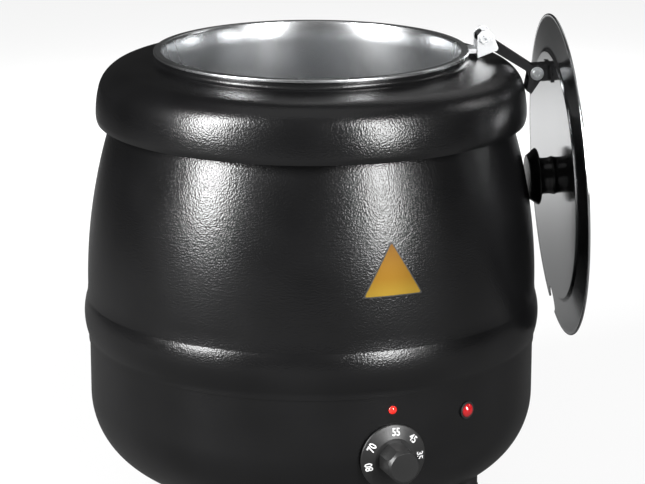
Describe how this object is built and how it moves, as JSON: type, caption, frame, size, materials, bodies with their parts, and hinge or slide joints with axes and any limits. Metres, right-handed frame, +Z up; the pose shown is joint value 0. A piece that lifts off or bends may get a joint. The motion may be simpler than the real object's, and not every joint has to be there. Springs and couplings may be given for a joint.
{
  "type": "soup kettle",
  "caption": "Countertop soup kettle: coated round body with heated water well, lift-out steel pot and a hinged pressed lid with ladle notch, shown open.",
  "frame": {"origin": "on the kettle's axis at the level it stands on, at the centre of the four feet", "axes": "+Z up along the axis of the body, -Y towards the side with the dial, +X to the right of someone facing the dial; the lid hinge is at 75.3 degrees from -Y towards +X"},
  "size_m": [0.3855, 0.3708, 0.357],
  "materials": {
    "black_coat": "fine wrinkle powder coat, black, satin",
    "stainless": "polished stainless steel",
    "well_steel": "plain drawn stainless steel",
    "hinge_steel": "bent stainless sheet, polished",
    "hardware_steel": "plated steel fasteners",
    "dark_steel": "plain steel bar",
    "heater_sheath": "oxidised heater sheath",
    "aluminium": "cast plate, as made",
    "black_bakelite": "moulded phenolic, soft gloss",
    "black_plastic": "moulded nylon, matt",
    "red_lens": "clear red moulded lens",
    "blanket_wool": "mineral wool blanket",
    "silicone": "silicone ring, matt",
    "ceramic": "cream insulating body, matt",
    "copper": "drawn copper bulb",
    "rubber": "moulded rubber, matt"
  },
  "bodies": {
    "base": {"upper_shell": "black_coat", "lower_bowl": "black_coat", "shoulder_cover": "black_coat", "collar_ring": "black_coat", "water_well": "well_steel", "well_gasket": "silicone", "insulation_blanket": "blanket_wool", "heater_plate": "aluminium", "heater_element": "heater_sheath", "heater_clamp": "dark_steel", "clamp_nut": "hardware_steel", "thermal_cutout": "ceramic", "thermostat_body": "ceramic", "thermostat_nut": "hardware_steel", "sensor_bulb": "copper", "terminal_block": "ceramic", "pilot_lamp_body": "black_plastic", "pilot_lamp_lens": "red_lens", "pilot_lamp_nut": "black_plastic", "index_jewel": "red_lens", "cord_gland": "black_plastic", "gland_nut": "black_plastic", "bottom_cover": "black_coat", "bottom_screws": "hardware_steel", "foot_front_right": "rubber", "foot_back_right": "rubber", "foot_back_left": "rubber", "foot_front_left": "rubber", "foot_screws": "hardware_steel", "foot_nuts": "hardware_steel"},
    "pot": {"soup_pot": "stainless", "rim_clip": "hinge_steel", "clip_bolt": "hardware_steel", "clip_nut": "hardware_steel"},
    "link": {"hinge_link": "hinge_steel"},
    "lid": {"lid_shell": "stainless", "lid_bracket": "hinge_steel", "lid_bolt": "hardware_steel", "lid_washer": "hardware_steel", "lid_nut": "hardware_steel", "lid_knob": "black_bakelite", "knob_screw": "hardware_steel", "knob_washer": "hardware_steel"},
    "dial": {"dial_skirt": "black_bakelite", "dial_grip": "black_bakelite", "dial_shaft": "hardware_steel"}
  },
  "joints": [
    {"name": "pot_lift", "type": "slide", "parent": "base", "child": "pot", "axis": [0, 0, 1], "range_m": [0, 0.28]},
    {"name": "link_pivot", "type": "hinge", "parent": "pot", "child": "link", "pos_m": [0.12381, -0.03248, 0.34195], "axis": [-0.2538, -0.9673, 0], "range_deg": [0, 199.87]},
    {"name": "lid_pivot", "type": "hinge", "parent": "link", "child": "lid", "pos_m": [0.16282, -0.04272, 0.31526], "axis": [-0.2538, -0.9673, 0], "range_deg": [0, 67.14]},
    {"name": "dial_turn", "type": "hinge", "parent": "base", "child": "dial", "pos_m": [0, -0.1685, 0.072], "axis": [0, -1, 0], "range_deg": [-150, 120]}
  ],
  "couplings": [
    {"joint": "lid_pivot", "follows": "link_pivot", "ratio": 0.33589}
  ]
}
